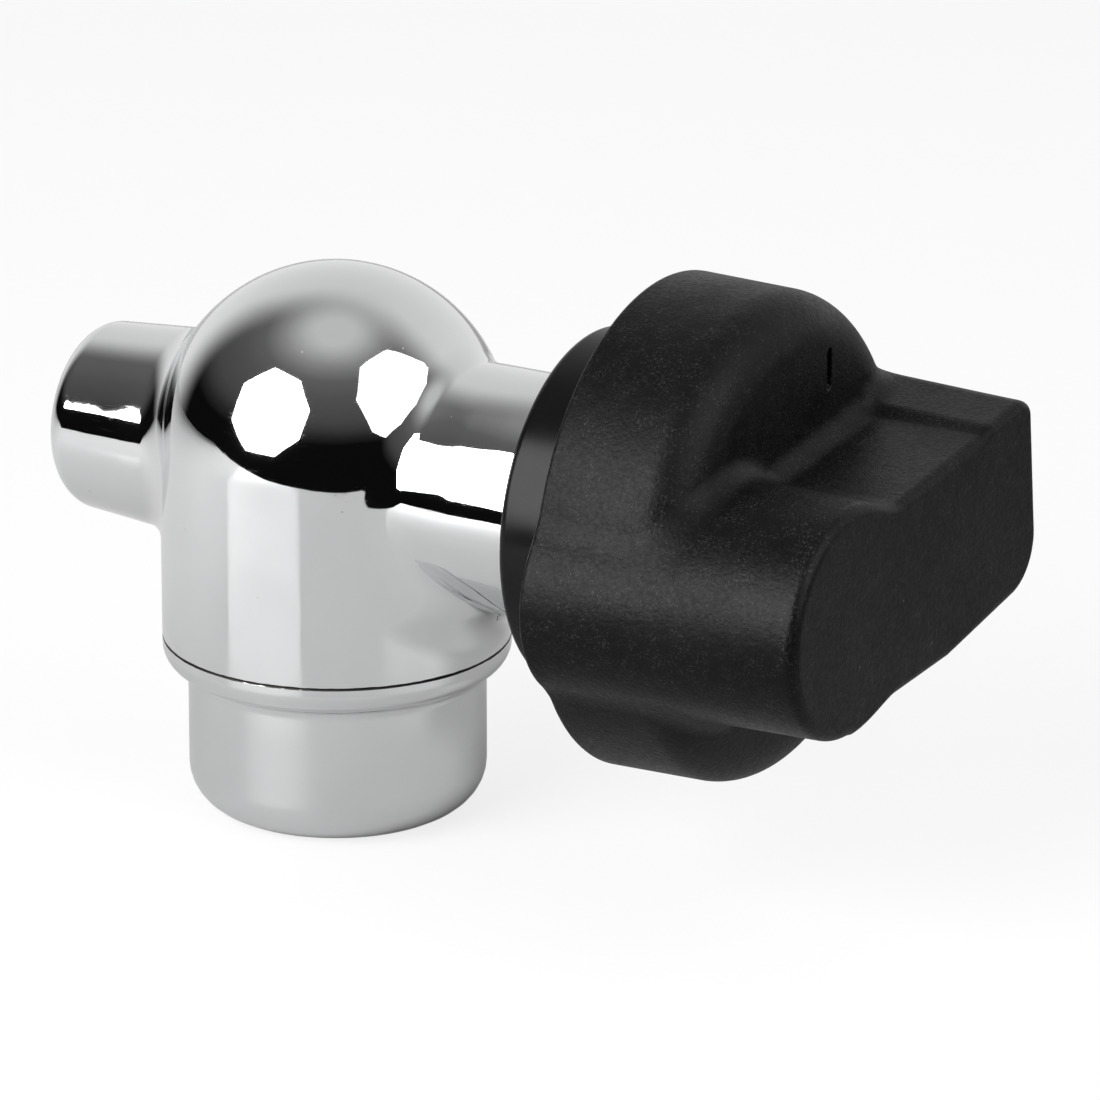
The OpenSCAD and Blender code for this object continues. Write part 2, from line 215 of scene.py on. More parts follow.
def add_mesh(name, points, faces, normals):
    """A smooth-shaded object from points in millimetres and known normals."""
    mesh = bpy.data.meshes.new(name)
    mesh.from_pydata((points * MM).tolist(), [], faces.tolist())
    mesh.shade_smooth()
    normals = normals / np.maximum(np.linalg.norm(normals, axis=1, keepdims=True), 1e-9)
    mesh.normals_split_custom_set_from_vertices(normals.tolist())
    piece = bpy.data.objects.new(name, mesh)
    bpy.context.scene.collection.objects.link(piece)
    return piece


def add_field(name, field, low, high, step, fine):
    lines = [samples(low[k], high[k], step, fine[k]) for k in range(3)]
    points, quads = surface_net(field, lines)
    points = settle(field, points, quads)
    return add_mesh(name, points, quads, gradient(field, points))


# ---- Meshes turned on the vertical axis ----

ARC_STEPS = 8
TURN_STEPS = 224


def rounded_section(corners):
    """A closed section from (radius, height, rounding) corners.

    Returns its points and its outward normals. The solid is on the left of
    the way round.
    """
    place = np.array([c[:2] for c in corners], float)
    points, normals = [], []
    for k, (_, _, rounding) in enumerate(corners):
        into = place[k] - place[k - 1]
        out = place[(k + 1) % len(place)] - place[k]
        into, out = into / np.hypot(*into), out / np.hypot(*out)
        turn = math.atan2(into[0] * out[1] - into[1] * out[0], into @ out)
        back = rounding * abs(math.tan(turn / 2))
        first = math.atan2(-into[0], into[1])
        centre_side = math.copysign(1, turn)
        centre = place[k] - back * into - centre_side * rounding * np.array([into[1], -into[0]])
        for part in np.linspace(0, 1, ARC_STEPS + 1):
            angle = first + part * turn
            normal = np.array([math.cos(angle), math.sin(angle)])
            points.append(centre + centre_side * rounding * normal)
            normals.append(normal)
    points, normals = np.array(points), np.array(normals)
    apart = np.hypot(*(points - np.roll(points, 1, axis=0)).T) > 1e-6
    return points[apart], normals[apart]


def turned_mesh(name, angle, radius, height, n_radius, n_height, n_around):
    """A closed section turned through the angles. Its rows are the section's
    points and its columns are the angles."""
    cos, sin = np.cos(angle), np.sin(angle)
    grid = np.stack([radius * cos, radius * sin, height], -1)
    normal = np.stack([
        n_radius * cos - n_around * sin, n_radius * sin + n_around * cos, n_height
    ], -1)
    rows, columns = radius.shape
    row, column = np.meshgrid(np.arange(rows), np.arange(columns), indexing="ij")
    next_row, next_column = (row + 1) % rows, (column + 1) % columns
    quads = np.stack([
        row * columns + column, row * columns + next_column,
        next_row * columns + next_column, next_row * columns + column
    ], -1).reshape(-1, 4)
    return add_mesh(name, grid.reshape(-1, 3), quads, normal.reshape(-1, 3))


# ---- Valve body ----

PORT_END_R = 10.7
PORT_TAPER = 0.081
PORT_ROUND = 2.8
BOSS_R = 13.8
BOSS_EDGE = 0.3
BRANCH_ROOT = 5  # how far past the middle the port and the boss start
PORT_FILLET = 2.2
BOSS_FILLET, BOSS_FILLET_BELOW = 1.6, 6.6
SEAM_EDGE = 0.2
HOSE_PITCH, HOSE_GROOVE, HOSE_RIM = 1.337, 0.83, 0.5
WATERWAY_R = 5.6
CAVITY_R = 13.5
SEAT_POCKET_R, SEAT_POCKET_FLOOR = 10.05, 16
SPIGOT_BORE_R, SPIGOT_ROOM = 15.05, 0.3
O_RING_RECESS_R, O_RING_RECESS = 17.2, 2.2
STEM_BORES = ((0, 5.05), (19, 8.6), (23.8, 9.55), (29.3, 10.05))
DOWEL_HOLE_R, DOWEL_CIRCLE_R, DOWEL_FLOOR = 1.05, 11.95, 29.4
BODY_GRID, THREAD_GRID, SEAM_GRID = 0.42, 0.22, 0.1


def body_outside(x, y, z):
    """The domed shell, the port and the boss. The boss's fillet grows from
    its side to its underside."""
    side = np.hypot(y, z - AXIS_H)
    shell = np.sqrt(x * x + y * y + np.maximum(z - DOME_H, 0) ** 2) - BODY_R
    cone = (side - PORT_END_R - PORT_TAPER * (x + PORT_REACH)) / math.hypot(1, PORT_TAPER)
    port = both(shared(cone, -x - PORT_REACH, PORT_ROUND), x - BRANCH_ROOT)
    boss = both(shared(side - BOSS_R, x - BOSS_REACH, BOSS_EDGE), -x - BRANCH_ROOT)
    below = np.clip((AXIS_H - z) / BOSS_R, 0, 1)
    gradual = below ** 4 * (5 - 4 * below)  # level at both of its ends
    boss_fillet = BOSS_FILLET + (BOSS_FILLET_BELOW - BOSS_FILLET) * gradual
    blended = joined(joined(shell, port, PORT_FILLET), boss, boss_fillet)
    return shared(blended, SEAM_H - z, SEAM_EDGE)


def body_hollows(x, y, z):
    up = z - AXIS_H
    side = np.hypot(y, up)
    centre = np.hypot(x, y)
    cavity = np.sqrt(x * x + y * y + np.maximum(up, 0) ** 2) - CAVITY_R
    seat = both(side - SEAT_POCKET_R, x, -x - SEAT_POCKET_FLOOR)
    below = both(centre - SPIGOT_BORE_R, z - SPIGOT_TOP - SPIGOT_ROOM)
    recess = both(centre - O_RING_RECESS_R, z - SEAM_H - O_RING_RECESS)
    stem = [both(side - r, start - x) for start, r in STEM_BORES]
    across = (y - up) / math.sqrt(2)
    along = (y + up) / math.sqrt(2)
    dowels = both(
        np.hypot(across, np.abs(along) - DOWEL_CIRCLE_R) - DOWEL_HOLE_R, DOWEL_FLOOR - x
    )
    return either(
        both(cavity, SPIGOT_TOP - z), seat, below, recess, dowels,
        both(side - WATERWAY_R, x), *stem
    )


def hose_bore(x, y, z):
    up = z - AXIS_H
    along = x + PORT_REACH
    groove = thread_groove(
        along, np.arctan2(up, y), HOSE_THREAD_DEPTH, HOSE_PITCH, HOSE_GROOVE
    )
    return both(np.hypot(y, up) - HOSE_THREAD_R - groove, along - HOSE_THREAD_DEPTH)


def body_field(x, y, z):
    solid = without(body_outside(x, y, z), hose_bore(x, y, z), HOSE_RIM)
    return both(solid, -body_hollows(x, y, z))


def make_body():
    thread_end = -PORT_REACH + HOSE_THREAD_DEPTH
    body = add_field(
        "body", body_field, BODY_LOW, BODY_HIGH, BODY_GRID,
        (
            ((-PORT_REACH - 1, thread_end, THREAD_GRID),),
            (),
            ((SEAM_H - 0.6, SEAM_H + 0.8, SEAM_GRID),)
        )
    )
    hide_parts("valve_body")
    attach(body, "housing")
    return body


# ---- Hull connector ----

CUP_R = 17.1
CUP_ROUND = 5.2
FLANGE_BAND = 0.9
FLANGE_ROUND = 2.7
FLANGE_FILLET = 1.5
SPIGOT_R = 15
HULL_PITCH, HULL_GROOVE = 1.814, 1.16
THREAD_STEP = 0.16
MOUTH_ROUND, SPIGOT_EDGE, SPIGOT_ROUND, POCKET_EDGE, BORE_EDGE = 0.6, 0.2, 0.5, 0.4, 0.3


def flange_corners():
    """The two corners of the S-shaped underside, where its leaning line meets
    the cup's side and the flange's side."""
    both_radii = FLANGE_FILLET + FLANGE_ROUND
    lean = math.asin((CUP_R - BODY_R + both_radii) / both_radii)
    half = math.tan((math.pi / 2 - lean) / 2)
    high = SEAM_H - FLANGE_BAND - FLANGE_ROUND * half
    low = high - both_radii * half * math.sin(lean)
    return (CUP_R, low, FLANGE_FILLET), (BODY_R, high, FLANGE_ROUND)


def make_connector():
    pocket_floor = AXIS_H - SEAT_POCKET_FLOOR
    corners = (
        (HULL_THREAD_R, 0, MOUTH_ROUND), (CUP_R, 0, CUP_ROUND), *flange_corners(),
        (BODY_R, SEAM_H, SEAM_EDGE), (SPIGOT_R, SEAM_H, SPIGOT_EDGE),
        (SPIGOT_R, SPIGOT_TOP, SPIGOT_ROUND), (SEAT_POCKET_R, SPIGOT_TOP, POCKET_EDGE),
        (SEAT_POCKET_R, pocket_floor, BORE_EDGE), (WATERWAY_R, pocket_floor, BORE_EDGE),
        (WATERWAY_R, HULL_THREAD_DEPTH, BORE_EDGE), (HULL_THREAD_R, HULL_THREAD_DEPTH, BORE_EDGE)
    )
    points, normals = rounded_section(corners)
    heights = np.arange(HULL_THREAD_DEPTH - BORE_EDGE - 0.1, MOUTH_ROUND + 0.1, -THREAD_STEP)
    wall = np.stack([np.full(len(heights), HULL_THREAD_R), heights], -1)
    points = np.concatenate([points, wall])
    normals = np.concatenate([normals, np.tile([-1.0, 0.0], (len(heights), 1))])

    angle = np.arange(TURN_STEPS) * 2 * math.pi / TURN_STEPS
    radius, height, n_radius, n_height = (
        np.repeat(column[:, None], TURN_STEPS, 1) for column in (*points.T, *normals.T)
    )
    n_around = np.zeros_like(radius)
    threaded = slice(len(points) - len(heights), None)
    groove = thread_groove(
        height[threaded], angle[None, :], HULL_THREAD_DEPTH, HULL_PITCH, HULL_GROOVE
    )
    radius[threaded] += groove
    n_height[threaded] = np.gradient(groove, heights, axis=0)
    n_around[threaded] = np.gradient(groove, angle, axis=1) / radius[threaded]
    connector = turned_mesh("connector", angle, radius, height, n_radius, n_height, n_around)
    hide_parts("hull_connector")
    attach(connector, "housing")
    return connector


# ---- Knob ----
# A round skirt with a grip bar on its face. The bar has a round lobe at one
# end and a raised block at its square end. Sizes along the bar and across it
# count from the knob's axis; a draft is what a side loses per millimetre
# towards the front.

KNOB_DRAFT = 0.02
SHOULDER = 59.3
KNOB_ROUND = 5.5
LOBE_OFFSET = 15.3
LOBE_R, LOBE_DRAFT, LOBE_DROP = 13.5, 0.012, 0.3
TIP_LENGTH, TIP_DRAFT = 15.9, 0.06
UPPER_FLANK = 9.2
# The underside reaches furthest at the crest and slopes back on either side.
LOWER_FLANK, LOWER_CREST, LOWER_SLOPE = 13.6, 6, 0.06
BLOCK_START, BLOCK_HIGH, BLOCK_DRAFT = 17, 10.2, 0.06
END_REACH = 27.6
HIGH_CORNER, LOW_CORNER = 3, 6
STEP_EDGE, STEP_FILLET = 1.2, 1.5
LOBE_FILLET = 2
GRIP_EDGE = 1.3
FOOT_FILLET, SIDE_FILLET = 2.6, 0.8
REAR_EDGE = 0.6
MARK_Y, MARK_LOW, MARK_HIGH = 7.8, 57.7, 61.3
MARK_R, MARK_DEPTH, MARK_RIM = 0.5, 0.45, 0.15

# The hollow back, its ribs and the holes for the hub and the grub screw.
KNOB_WALL = 3.2
CAVITY_FRONT = SHOULDER - 4
GRIP_CORE_FRONT = GRIP_FRONT - 4.5
END_EXTRA, LOWER_EXTRA = 0.8, 2.3  # the bar's walls are thicker there
CORE_R, CORE_BACK = 12, 47.35
HUB_BORE_R, HUB_BORE_FRONT = 8.55, 61.2
RIB_COUNT, RIB_HALF, RIB_BITE, RIB_SET_BACK = 6, 0.9, 1, 0.5
ACCESS_R, ACCESS_REACH = 2.6, 50.6

KNOB_GRID, FACE_GRID, EDGE_GRID, MARK_GRID = 0.45, 0.3, 0.25, 0.16


def knob_plane(y, z):
    """Distances along the bar, to its square end, and up across it."""
    up = z - AXIS_H
    cos, sin = math.cos(KNOB_ANGLE), math.sin(KNOB_ANGLE)
    return y * cos + up * sin, up * cos - y * sin


def grip_outline(x, along, across):
    """The lobe and the bar together. The lobe's far side is a half ellipse."""
    block = shared(
        across - BLOCK_HIGH + BLOCK_DRAFT * (x - SHOULDER), BLOCK_START - along, STEP_EDGE
    )
    upper = joined(across - UPPER_FLANK, block, STEP_FILLET)
    lower = -across - LOWER_FLANK + LOWER_SLOPE * np.abs(along - LOWER_CREST)
    end = along - END_REACH
    bar = both(
        shared(upper, end, HIGH_CORNER), shared(lower, end, LOW_CORNER), -LOBE_OFFSET - along
    )
    from_lobe = along + LOBE_OFFSET
    beside = across + LOBE_DROP
    wide = LOBE_R - LOBE_DRAFT * (x - KNOB_BACK)
    long = np.where(from_lobe < 0, TIP_LENGTH - TIP_DRAFT * (x - KNOB_BACK), wide)
    scaled = np.hypot(from_lobe / long, beside / wide)
    slope = np.hypot(from_lobe / long ** 2, beside / wide ** 2) + 1e-9
    lobe = scaled * (scaled - 1) / slope
    return joined(lobe, bar, LOBE_FILLET)


def knob_outside(x, along, across):
    side = np.hypot(along, across) - KNOB_R + KNOB_DRAFT * (x - KNOB_BACK)
    skirt = shared(side, x - SHOULDER, KNOB_ROUND)
    grip = shared(grip_outline(x, along, across), x - GRIP_FRONT, GRIP_EDGE)
    # A large fillet beside the skirt would swell past the skirt and the bar.
    on_face = np.clip(1 - (SHOULDER - x) / KNOB_ROUND, 0, 1)
    fillet = SIDE_FILLET + (FOOT_FILLET - SIDE_FILLET) * on_face
    return shared(joined(skirt, grip, fillet), KNOB_BACK - x, REAR_EDGE)


def knob_hollows(x, along, across):
    side = np.hypot(along, across)
    skirt = both(side - KNOB_R + KNOB_WALL, x - CAVITY_FRONT)
    lobe = both(
        np.hypot(along + LOBE_OFFSET, across) - LOBE_R + KNOB_WALL, x - GRIP_CORE_FRONT
    )
    bar = both(
        -along, along - END_REACH + KNOB_WALL + END_EXTRA, across - UPPER_FLANK + KNOB_WALL,
        -across - LOWER_FLANK + KNOB_WALL + LOWER_EXTRA, x - GRIP_CORE_FRONT
    )
    return either(skirt, lobe, bar)


def knob_ribs(x, along, across):
    side = np.hypot(along, across)
    turn = 2 * math.pi / RIB_COUNT
    angle = np.arctan2(along, -across)
    off = side * np.sin(np.abs((angle % turn) - turn / 2))
    ribs = both(
        off - RIB_HALF, CORE_R - RIB_BITE - side, CORE_BACK + RIB_SET_BACK - x,
        x - CAVITY_FRONT - RIB_BITE
    )
    core = both(side - CORE_R, CORE_BACK - x)
    return either(ribs, core)


def knob_bores(x, along, across):
    side = np.hypot(along, across)
    hub = both(side - HUB_BORE_R, x - HUB_BORE_FRONT)
    access = both(np.hypot(along, x - ACCESS_REACH) - ACCESS_R, across)
    return either(hub, access)


def position_mark(x, y, z):
    """A plain upright groove in the skirt's face that marks the position."""
    past = z - np.clip(z, MARK_LOW, MARK_HIGH)
    return both(np.hypot(y - MARK_Y, past) - MARK_R, SHOULDER - MARK_DEPTH - x)


def knob_field(x, y, z):
    along, across = knob_plane(y, z)
    outside = without(knob_outside(x, along, across), position_mark(x, y, z), MARK_RIM)
    shell = both(outside, -knob_hollows(x, along, across))
    ribbed = either(shell, both(outside, knob_ribs(x, along, across)))
    return both(ribbed, -knob_bores(x, along, across))


def make_knob():
    knob = add_field(
        "knob", knob_field, KNOB_LOW, KNOB_HIGH, KNOB_GRID,
        (
            (
                (KNOB_BACK - 1, KNOB_BACK + 1.2, EDGE_GRID),
                (SHOULDER - 1, SHOULDER + 0.6, EDGE_GRID),
                (GRIP_FRONT - 1.6, GRIP_FRONT + 1, FACE_GRID)
            ),
            ((MARK_Y - 1.2, MARK_Y + 1.2, MARK_GRID),),
            ((MARK_LOW - 1, MARK_HIGH + 1, FACE_GRID),)
        )
    )
    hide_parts("knob_shell")
    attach(knob, "knob_and_ball")
    return knob


# ---- Materials ----

class Graph:
    """A short way to write a node tree. Lengths are in metres, as the
    objects' own coordinates are."""

    def __init__(self, tree, coordinate="Object"):
        self.tree = tree
        self.place = tree.nodes.new("ShaderNodeTexCoord").outputs[coordinate]

    def add(self, kind, inputs, output=0, **settings):
        node = self.tree.nodes.new(kind)
        for key, value in settings.items():
            setattr(node, key, value)
        for key, value in inputs.items():
            if isinstance(value, bpy.types.NodeSocket):
                self.tree.links.new(value, node.inputs[key])
            else:
                node.inputs[key].default_value = value
        return node.outputs[output]

    def scaled(self, x, y, z):
        return self.add("ShaderNodeMapping", {"Vector": self.place, "Scale": (x, y, z)})

    def noise(self, size, detail=2.0, place=None, roughness=0.5):
        return self.add("ShaderNodeTexNoise", {
            "Vector": self.place if place is None else place, "Scale": 1 / size,
            "Detail": detail, "Roughness": roughness
        })

    def specks(self, size, radius):
        """1 at the middle of scattered dots, 0 away from them."""
        distance = self.add("ShaderNodeTexVoronoi", {
            "Vector": self.place, "Scale": 1 / size, "Randomness": 1.0
        })
        return self.span(distance, radius, radius * 0.4)

    def span(self, value, low, high, to_low=0.0, to_high=1.0):
        return self.add("ShaderNodeMapRange", {
            "Value": value, "From Min": low, "From Max": high, "To Min": to_low, "To Max": to_high
        }, interpolation_type="SMOOTHSTEP" if (to_low, to_high) == (0.0, 1.0) else "LINEAR")

    def math(self, operation, a, b=0.0):
        return self.add("ShaderNodeMath", {0: a, 1: b}, operation=operation)

    def mix(self, part, low, high):
        return self.add("ShaderNodeMix", {
            0: part, 6: (*low, 1) if isinstance(low, tuple) else low,
            7: (*high, 1) if isinstance(high, tuple) else high
        }, output=2, data_type="RGBA")

    def bump(self, height, depth, below=None):
        inputs = {"Height": height, "Distance": depth, "Strength": 1.0}
        if below is not None:
            inputs["Normal"] = below
        return self.add("ShaderNodeBump", inputs)

    def axis(self, name):
        return self.add("ShaderNodeSeparateXYZ", {0: self.place}, output="XYZ".index(name))


def material(name, constants, linked):
    """A Principled material. linked makes its textures from a Graph."""
    made = bpy.data.materials.new(name)
    made.use_nodes = True
    shader = made.node_tree.nodes["Principled BSDF"]
    for key, value in constants.items():
        shader.inputs[key].default_value = value
    for key, value in linked(Graph(made.node_tree)).items():
        made.node_tree.links.new(value, shader.inputs[key])
    return made


def painted_seam_shade(graph, heights, reach):
    """1 next to the given heights, 0 further away, with a ragged edge: where the seams get painted
    shade.
    """
    ragged = graph.span(graph.noise(0.0016, 3), 0.3, 0.7, 0.7 * reach, 1.2 * reach)
    parts = [
        graph.math("ABSOLUTE", graph.math("SUBTRACT", graph.axis("Z"), h)) for h in heights
    ]
    nearest = parts[0]
    for part in parts[1:]:
        nearest = graph.math("MINIMUM", nearest, part)
    return graph.math("LESS_THAN", nearest, ragged)


def chrome(name, heights=()):
    """Polished plate, with painted shade in the seams at the given heights."""
    def linked(graph):
        cloudy = graph.noise(0.011, 3)
        hairlines = graph.noise(0.00035, 2, graph.scaled(0.12, 0.35, 1.0))
        rough = graph.span(cloudy, 0.3, 0.75, 0.018, 0.05)
        rough = graph.math("ADD", rough, graph.span(hairlines, 0.62, 0.75, 0.0, 0.05))
        dust = graph.specks(0.0042, 0.045)
        rough = graph.math("ADD", rough, graph.math("MULTIPLY", dust, 0.35))
        tint = graph.mix(cloudy, (0.76, 0.765, 0.775), (0.82, 0.825, 0.83))
        colour = graph.mix(graph.math("MULTIPLY", dust, 0.35), tint, (0.35, 0.34, 0.32))
        if heights:
            # Painted shade: the seam between body and connector is coloured near black and made
            # rougher.
            seam_shade = painted_seam_shade(graph, heights, 0.00017)
            colour = graph.mix(graph.math("MULTIPLY", seam_shade, 0.96), colour, (0.02, 0.02, 0.018))
            rough = graph.math("ADD", rough, graph.math("MULTIPLY", seam_shade, 0.5))
        on_boss = graph.span(graph.axis("X"), 0.016, 0.023)
        hand_polish = graph.bump(graph.math("MULTIPLY", graph.noise(0.012, 0), on_boss), 0.0004)
        waves = graph.bump(graph.noise(0.008, 1), 0.000055, hand_polish)
        ripples = graph.bump(graph.noise(0.0026, 2), 0.000005, waves)
        fine = graph.bump(graph.noise(0.0007, 2), 0.0000004, ripples)
        return {"Base Color": colour, "Roughness": rough, "Normal": fine}
    return material(name, {"Metallic": 1.0}, linked)


def soft_black():
    def linked(graph):
        cloudy = graph.noise(0.012, 4)
        grain = graph.noise(0.0005, 3, roughness=0.65)
        mottle = graph.noise(0.0022, 3)
        lint = graph.specks(0.0048, 0.035)
        scuffs = graph.noise(0.0006, 2, graph.scaled(1.0, 0.10, 0.35))
        scuffs = graph.math(
            "MULTIPLY", graph.span(scuffs, 0.70, 0.75), graph.span(graph.noise(0.018), 0.5, 0.62)
        )
        base = graph.mix(cloudy, (0.0012, 0.0012, 0.0012), (0.0030, 0.0030, 0.0030))
        pale = graph.math("MULTIPLY", graph.span(grain, 0.46, 0.72), graph.span(mottle, 0.35, 0.65))
        base = graph.mix(graph.math("MULTIPLY", pale, 0.6), base, (0.008, 0.008, 0.008))
        powder = graph.math(
            "MULTIPLY", graph.span(graph.noise(0.00024, 1), 0.54, 0.74),
            graph.span(mottle, 0.3, 0.7)
        )
        base = graph.mix(graph.math("MULTIPLY", powder, 0.8), base, (0.034, 0.034, 0.033))
        base = graph.mix(graph.math("MULTIPLY", scuffs, 0.25), base, (0.04, 0.04, 0.04))
        base = graph.mix(graph.math("MULTIPLY", lint, 0.6), base, (0.16, 0.16, 0.155))
        rough = graph.span(cloudy, 0.3, 0.7, 0.36, 0.46)
        rough = graph.math("ADD", rough, graph.span(grain, 0.35, 0.65, -0.06, 0.08))
        coarse = graph.bump(graph.noise(0.0016, 2), 0.00003)
        fine = graph.bump(grain, 0.00007, coarse)
        return {"Base Color": base, "Roughness": rough, "Normal": fine}
    return material("soft_black", {"Specular IOR Level": 0.14}, linked)


def acetal():
    def linked(graph):
        cloudy = graph.noise(0.009, 3)
        turned = graph.noise(0.0005, 1, graph.scaled(1.0, 0.04, 0.04))
        base = graph.mix(cloudy, (0.003, 0.003, 0.003), (0.006, 0.006, 0.006))
        base = graph.mix(graph.math("MULTIPLY", graph.specks(0.005, 0.04), 0.6),
                         base, (0.18, 0.18, 0.17))
        rough = graph.span(cloudy, 0.3, 0.7, 0.20, 0.32)
        return {"Base Color": base, "Roughness": rough, "Normal": graph.bump(turned, 0.000006)}
    return material("acetal", {"Specular IOR Level": 0.18}, linked)


def turned_metal(name, dark, light, rough_low, rough_high):
    def linked(graph):
        cloudy = graph.noise(0.006, 3)
        tool_marks = graph.noise(0.00028, 1, graph.scaled(1.0, 0.05, 0.05))
        stain = graph.span(graph.noise(0.004, 4), 0.45, 0.7)
        tint = graph.mix(cloudy, dark, light)
        worn = tuple(0.55 * channel for channel in dark)
        colour = graph.mix(graph.math("MULTIPLY", stain, 0.4), tint, worn)
        rough = graph.span(tool_marks, 0.3, 0.7, rough_low, rough_high)
        return {
            "Base Color": colour, "Roughness": rough, "Normal": graph.bump(tool_marks, 0.000012)
        }
    return material(name, {"Metallic": 1.0}, linked)


def ptfe():
    def linked(graph):
        cloudy = graph.noise(0.005, 3)
        base = graph.mix(cloudy, (0.80, 0.80, 0.76), (0.90, 0.90, 0.87))
        rough = graph.span(cloudy, 0.3, 0.7, 0.38, 0.52)
        return {
            "Base Color": base, "Roughness": rough,
            "Normal": graph.bump(graph.noise(0.0004, 2), 0.000008)
        }
    return material(
        "ptfe", {"Subsurface Weight": 0.15, "Subsurface Scale": 0.001}, linked
    )


def nitrile():
    def linked(graph):
        grease = graph.span(graph.noise(0.003, 3), 0.45, 0.6)
        base = graph.mix(graph.noise(0.002, 3), (0.016, 0.016, 0.017), (0.03, 0.03, 0.031))
        rough = graph.span(grease, 0.0, 1.001, 0.55, 0.22)
        return {
            "Base Color": base, "Roughness": rough,
            "Normal": graph.bump(graph.noise(0.0003, 2), 0.000008)
        }
    return material("nitrile", {}, linked)


def dress(made):
    """Gives every CAD node and every new piece its slot's material."""
    for part in RECORD["subparts"]:
        node = frame["nodes"][part["node"]]
        for held in node.material_slots:
            held.material = made[part["material_slot"]]
    for piece, slot in PIECES:
        piece.data.materials.append(made[slot])


# ---- Camera, light and stage ----

VIEW_AZIMUTH, VIEW_ELEVATION = math.radians(30.07), math.radians(19.34)
VIEW_DISTANCE = 0.9886
VIEW_RIGHT, VIEW_UP = 0.02435, -0.01062
LENS = 284.7
SENSOR = 36


def direction(azimuth, elevation):
    """The way from the valve, with 0 towards -Y and 90 degrees towards +X."""
    flat = math.cos(elevation)
    return Vector((math.sin(azimuth) * flat, -math.cos(azimuth) * flat, math.sin(elevation)))


def add_camera():
    back = direction(VIEW_AZIMUTH, VIEW_ELEVATION)
    right = Vector((math.cos(VIEW_AZIMUTH), math.sin(VIEW_AZIMUTH), 0))
    up = back.cross(right)
    data = bpy.data.cameras.new("view")
    data.lens = LENS
    data.sensor_width = SENSOR
    data.clip_start, data.clip_end = 0.05, 30
    camera = bpy.data.objects.new("view", data)
    bpy.context.scene.collection.objects.link(camera)
    place = Vector((0, 0, AXIS_H * MM)) + VIEW_DISTANCE * back + VIEW_RIGHT * right + VIEW_UP * up
    turn = Matrix((right, up, back)).transposed().to_4x4()
    camera.matrix_world = Matrix.Translation(place) @ turn
    bpy.context.scene.camera = camera


def emission(name, strength):
    made = bpy.data.materials.new(name)
    made.use_nodes = True
    tree = made.node_tree
    tree.nodes.clear()
    glow = tree.nodes.new("ShaderNodeEmission")
    glow.inputs["Color"].default_value = (1, 1, 1, 1)
    glow.inputs["Strength"].default_value = strength
    out = tree.nodes.new("ShaderNodeOutputMaterial")
    tree.links.new(glow.outputs[0], out.inputs["Surface"])
    return made


SOFTBOX_DISTANCE = 0.8
SOFTBOX_SIDES = 8


def add_softbox(name, azimuth, elevation, half_angle, strength):
    """An eight-sided soft light that the camera doesn't see."""
    back = direction(math.radians(azimuth), math.radians(elevation))
    side = Vector((0, 0, 1)).cross(back).normalized()
    up = back.cross(side)
    centre = Vector((0, 0, AXIS_H * MM)) + SOFTBOX_DISTANCE * back
    half_side = math.pi / SOFTBOX_SIDES
    reach = SOFTBOX_DISTANCE * math.tan(math.radians(half_angle)) / math.cos(half_side)
    corners = [
        centre + reach * (math.cos(a) * side + math.sin(a) * up)
        for a in (half_side * (2 * k + 1) for k in range(SOFTBOX_SIDES))
    ]
    mesh = bpy.data.meshes.new(name)
    mesh.from_pydata(corners, [], [tuple(range(SOFTBOX_SIDES))])
    mesh.materials.append(emission(name, strength))
    box = bpy.data.objects.new(name, mesh)
    bpy.context.scene.collection.objects.link(box)
    box.visible_camera = False


def add_sheet(name, corners, made):
    mesh = bpy.data.meshes.new(name)
    mesh.from_pydata(corners, [], [tuple(range(len(corners)))])
    mesh.materials.append(made)
    sheet = bpy.data.objects.new(name, mesh)
    bpy.context.scene.collection.objects.link(sheet)
    sheet.visible_shadow = False
    return sheet


FLOOR_GLOW = 0.80
FLOOR_ALBEDO = 0.16
FLOOR_REACH, FLOOR_H = 4, -0.00005
TABLE_H = -0.0002
# Table greys with painted light and shade: darker near the camera, lighter behind, lighter to the
# left and darker to the right.
TABLE_SHADED_NEAR, TABLE_LIT_FAR = 0.46, 0.74
TABLE_LIT_LEFT, TABLE_SHADED_RIGHT = 0.66, 0.24
TABLE_EDGE = 0.150
TABLE_REACH = 1.5


def floor_material():
    """A pale floor that fades away when it is seen from below."""
    made = emission("floor", FLOOR_GLOW)
    tree = made.node_tree
    glow = tree.nodes["Emission"].outputs[0]
    graph = Graph(tree)
    soft = graph.add("ShaderNodeBsdfDiffuse", {
        "Color": graph.mix(graph.noise(0.08, 3), (FLOOR_ALBEDO,) * 3, (FLOOR_ALBEDO * 1.04,) * 3)
    })
    lit = graph.add("ShaderNodeAddShader", {0: glow, 1: soft})
    below = tree.nodes.new("ShaderNodeNewGeometry").outputs["Backfacing"]
    clear = tree.nodes.new("ShaderNodeBsdfTransparent").outputs[0]
    seen = graph.add("ShaderNodeMixShader", {0: below, 1: lit, 2: clear})
    tree.links.new(seen, tree.nodes["Material Output"].inputs["Surface"])
    return made


